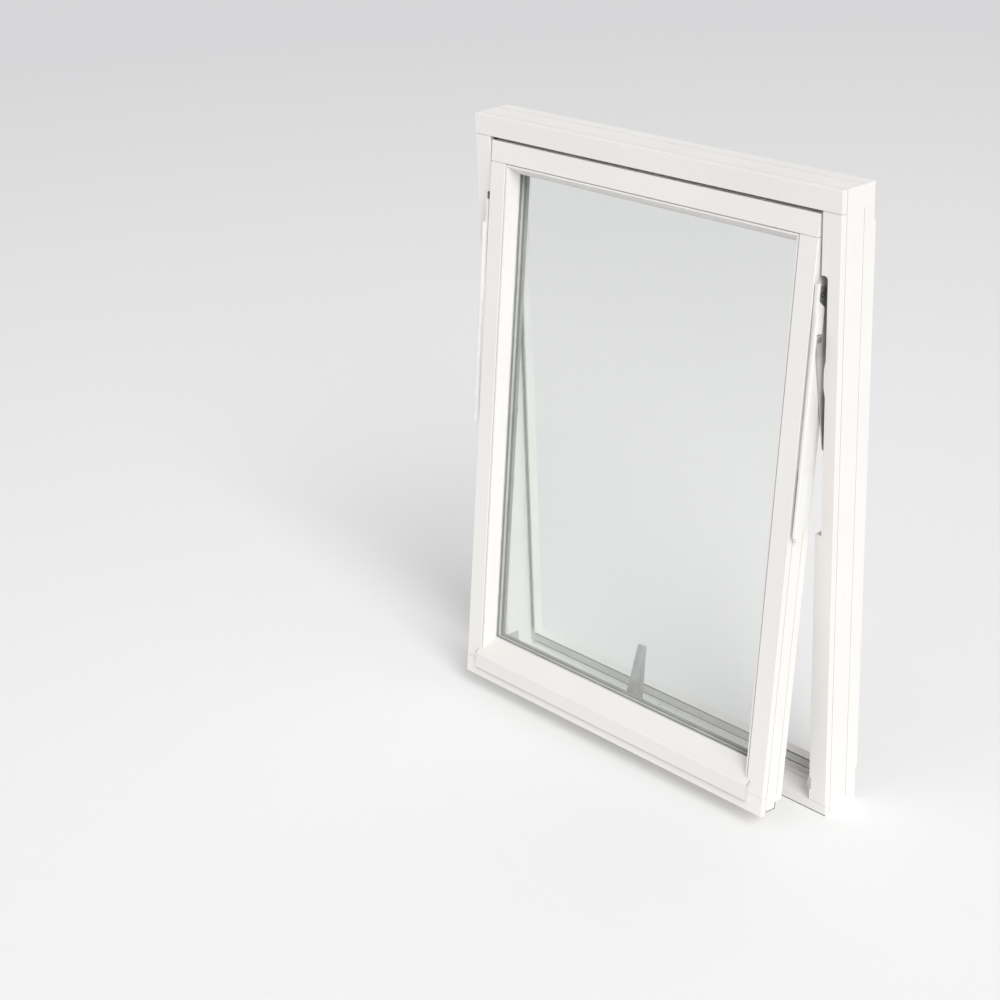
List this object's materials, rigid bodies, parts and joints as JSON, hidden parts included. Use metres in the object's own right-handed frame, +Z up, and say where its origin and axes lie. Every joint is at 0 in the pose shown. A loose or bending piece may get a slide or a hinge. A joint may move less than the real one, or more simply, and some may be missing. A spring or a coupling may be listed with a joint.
{
  "type": "pivot window",
  "caption": "White timber and aluminium top-guided pivot window: a glazed sash swings out at its foot on side stay arms, with an inside lever handle.",
  "frame": {"origin": "middle of the sill's flat underside, at half the frame's depth", "axes": "+Z up, -Y is outside, +X is right as seen from outside"},
  "size_m": [0.89, 0.2259, 1.19],
  "materials": {
    "white_aluminium": "satin powder coat",
    "white_timber": "white factory paint",
    "white_bead": "white factory paint",
    "white_hardware": "white lacquer",
    "seal_grey": "matt",
    "seal_light": "matt",
    "seal_dark": "matt",
    "clear_glass": "clear float glass",
    "spacer_bar": "matt",
    "zinc_steel": "zinc plated",
    "guide_plastic": "matt",
    "handle_metal": "satin"
  },
  "bodies": {
    "frame": {"head": "white_timber", "jamb_left": "white_timber", "jamb_right": "white_timber", "sill": "white_timber", "head_skin": "white_aluminium", "jamb_skin_left": "white_aluminium", "jamb_skin_right": "white_aluminium", "sill_skin": "white_aluminium", "frame_seal": "seal_grey", "track_left": "zinc_steel", "track_right": "zinc_steel", "arm_foot_left": "zinc_steel", "arm_foot_right": "zinc_steel", "guide_left": "guide_plastic", "guide_right": "guide_plastic", "keeper": "white_hardware"},
    "stay_arms": {"arm_left": "zinc_steel", "arm_right": "zinc_steel"},
    "sash": {"top_rail": "white_timber", "bottom_rail": "white_timber", "stile_left": "white_timber", "stile_right": "white_timber", "top_rail_skin": "white_aluminium", "bottom_rail_skin": "white_aluminium", "stile_skin_left": "white_aluminium", "stile_skin_right": "white_aluminium", "bead_left": "white_bead", "bead_right": "white_bead", "bead_top": "white_bead", "weather_bead": "white_bead", "pane_outer": "clear_glass", "pane_inner": "clear_glass", "spacer": "spacer_bar", "seal_outer": "seal_light", "seal_inner": "seal_dark", "bar_left": "white_hardware", "bar_right": "white_hardware", "top_plate_left": "zinc_steel", "top_plate_right": "zinc_steel", "rose": "handle_metal", "lock_case": "zinc_steel"},
    "shoes": {"shoe_left": "guide_plastic", "shoe_right": "guide_plastic"},
    "handle": {"lever": "handle_metal"}
  },
  "joints": [
    {"name": "stay_turn", "type": "hinge", "parent": "frame", "child": "stay_arms", "pos_m": [0, -0.023, 0.7249], "axis": [1, 0, 0], "range_deg": [-6.8, 53.2]},
    {"name": "sash_swing", "type": "hinge", "parent": "stay_arms", "child": "sash", "pos_m": [0, -0.04709, 0.92697], "axis": [-1, 0, 0], "range_deg": [-13.6, 106.4]},
    {"name": "shoe_turn", "type": "hinge", "parent": "sash", "child": "shoes", "pos_m": [0, -0.023, 1.12904], "axis": [1, 0, 0], "range_deg": [-6.8, 53.2]},
    {"name": "handle_turn", "type": "hinge", "parent": "sash", "child": "handle", "pos_m": [0, -0.10478, 0.09696], "axis": [0, 0.993, -0.1184], "range_deg": [0, 90]}
  ],
  "couplings": [
    {"joint": "stay_turn", "follows": "sash_swing", "ratio": 0.5},
    {"joint": "shoe_turn", "follows": "sash_swing", "ratio": 0.5}
  ]
}
